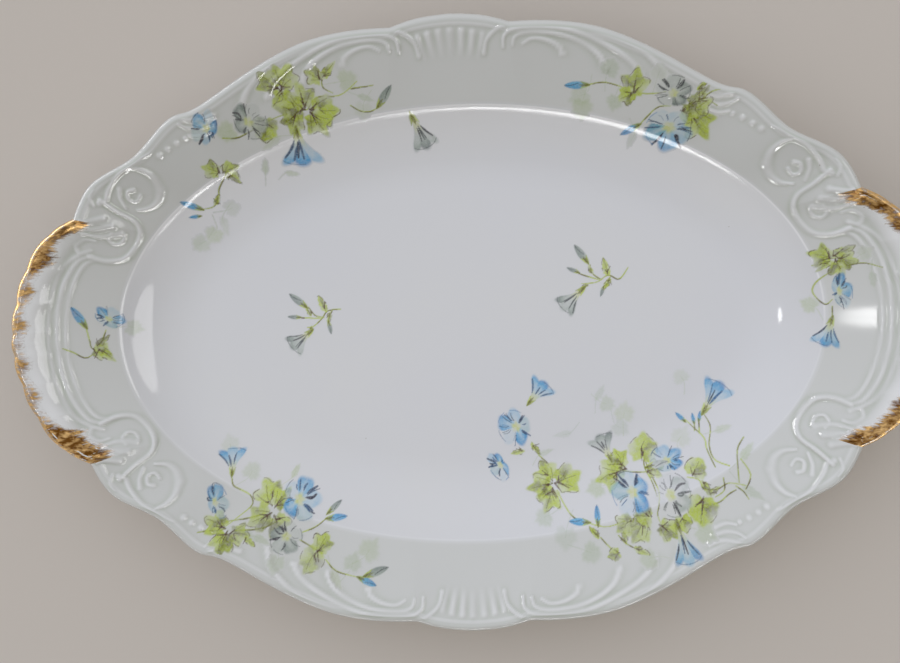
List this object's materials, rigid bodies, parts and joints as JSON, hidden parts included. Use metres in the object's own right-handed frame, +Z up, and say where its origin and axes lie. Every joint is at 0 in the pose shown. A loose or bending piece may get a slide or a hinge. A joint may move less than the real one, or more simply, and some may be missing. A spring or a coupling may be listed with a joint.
{
  "type": "oval serving platter",
  "caption": "Oval porcelain serving platter with a scalloped rim, broad gilded handle ends, printed flower sprays and a foot ring; food is laid in its shallow well.",
  "frame": {"origin": "centre of the plane that the foot ring stands on", "axes": "+X along the platter from the left handle to the right handle, +Y across it away from the viewer, +Z up out of the well"},
  "size_m": [0.4072, 0.272, 0.0436],
  "materials": {
    "glazed_porcelain": "gloss",
    "biscuit_foot": "matte",
    "gilding": "satin",
    "flower_print": "gloss",
    "sprig_print": "gloss"
  },
  "bodies": {
    "root": {"porcelain_body": "glazed_porcelain", "foot_ring": "biscuit_foot", "gilt_edge_left": "gilding", "gilt_edge_right": "gilding", "spray_upper_left": "flower_print", "spray_upper_right": "flower_print", "spray_left_handle": "flower_print", "spray_right_handle": "flower_print", "spray_lower_left": "flower_print", "spray_lower_right": "flower_print", "sprig_well_left": "sprig_print", "sprig_well_right": "sprig_print"}
  },
  "joints": []
}
